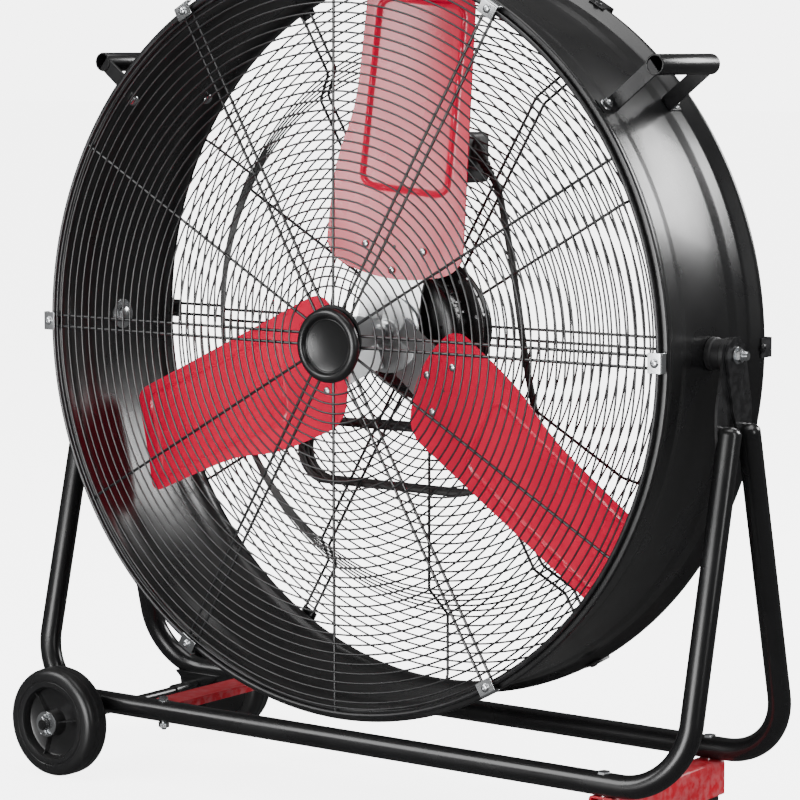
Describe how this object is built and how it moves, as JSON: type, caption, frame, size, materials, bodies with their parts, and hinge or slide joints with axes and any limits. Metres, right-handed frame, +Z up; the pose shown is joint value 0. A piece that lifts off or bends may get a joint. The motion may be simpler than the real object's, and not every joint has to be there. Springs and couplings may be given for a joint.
{
  "type": "drum fan",
  "caption": "Portable drum fan with a black sheet drum tilting between the legs of a wheeled tube stand, wire guards and red blades.",
  "frame": {"origin": "on the floor, below the middle of the tilt axis", "axes": "+Z up, the fan blows towards -Y, +X to the right seen from the front"},
  "size_m": [0.864, 0.346, 0.8985],
  "materials": {
    "black_powder": "satin powder coat",
    "black_gloss": "gloss powder coat",
    "red_brace": "satin paint",
    "red_blade": "gloss paint",
    "zinc": "bright zinc plate",
    "aluminium": "pressed and brushed",
    "shaft_steel": "machined",
    "winding": "varnished laminations and copper",
    "black_plastic": "fine grain",
    "black_rubber": "matt"
  },
  "bodies": {
    "stand": {"front_frame": "black_powder", "rear_frame": "black_powder", "side_brace": "red_brace", "foot_brace": "red_brace", "foot_pad_front": "black_rubber", "foot_pad_rear": "black_rubber", "axle": "black_powder", "axle_saddle_front": "black_powder", "axle_saddle_rear": "black_powder", "wheel_washer_front": "zinc", "wheel_washer_rear": "zinc", "brace_bolt_side_front": "zinc", "brace_bolt_side_rear": "zinc", "brace_bolt_foot_front": "zinc", "brace_bolt_foot_rear": "zinc", "pivot_bolt_left": "zinc", "pivot_bolt_right": "zinc"},
    "wheel_front_body": {"wheel_front": "black_plastic"},
    "wheel_rear_body": {"wheel_rear": "black_plastic"},
    "drum": {"drum_shell": "black_gloss", "front_guard": "black_gloss", "rear_guard": "black_gloss", "badge": "black_gloss", "front_clip_1": "zinc", "front_clip_2": "zinc", "front_clip_3": "zinc", "front_clip_4": "zinc", "front_clip_5": "zinc", "front_clip_6": "zinc", "pivot_spacer_left": "black_plastic", "pivot_spacer_right": "black_plastic", "handle_left": "black_gloss", "handle_right": "black_gloss", "handle_bolt_left_front": "zinc", "handle_bolt_left_rear": "zinc", "handle_bolt_right_front": "zinc", "handle_bolt_right_rear": "zinc", "motor_housing": "black_powder", "motor_front_bell": "black_powder", "motor_rear_bell": "black_powder", "motor_stator": "winding", "motor_bolt_1": "zinc", "motor_bolt_2": "zinc", "motor_bolt_3": "zinc", "motor_bolt_4": "zinc", "switch_box": "black_plastic", "switch_cover": "black_plastic", "strain_relief": "black_rubber", "cord_drop": "black_rubber", "cord_hank": "black_rubber", "cord_tie": "black_plastic", "plug": "black_rubber"},
    "rotor": {"rotor_shaft": "shaft_steel", "hub_spider": "aluminium", "blade_1": "red_blade", "blade_2": "red_blade", "blade_3": "red_blade"},
    "knob": {"switch_knob": "black_plastic"}
  },
  "joints": [
    {"name": "drum_tilt", "type": "hinge", "parent": "stand", "child": "drum", "pos_m": [0, 0, 0.5], "axis": [1, 0, 0], "range_deg": [-90, 90]},
    {"name": "rotor_spin", "type": "hinge", "parent": "drum", "child": "rotor", "pos_m": [0, -0.008, 0.5], "axis": [0, 1, 0], "continuous": true},
    {"name": "wheel_front_spin", "type": "hinge", "parent": "stand", "child": "wheel_front_body", "pos_m": [-0.356, -0.144, 0.06], "axis": [0, 1, 0], "continuous": true},
    {"name": "wheel_rear_spin", "type": "hinge", "parent": "stand", "child": "wheel_rear_body", "pos_m": [-0.356, 0.144, 0.06], "axis": [0, 1, 0], "continuous": true},
    {"name": "speed_knob", "type": "hinge", "parent": "drum", "child": "knob", "pos_m": [0.017, 0.1, 0.684], "axis": [0, -1, 0], "range_deg": [0, 135]}
  ]
}
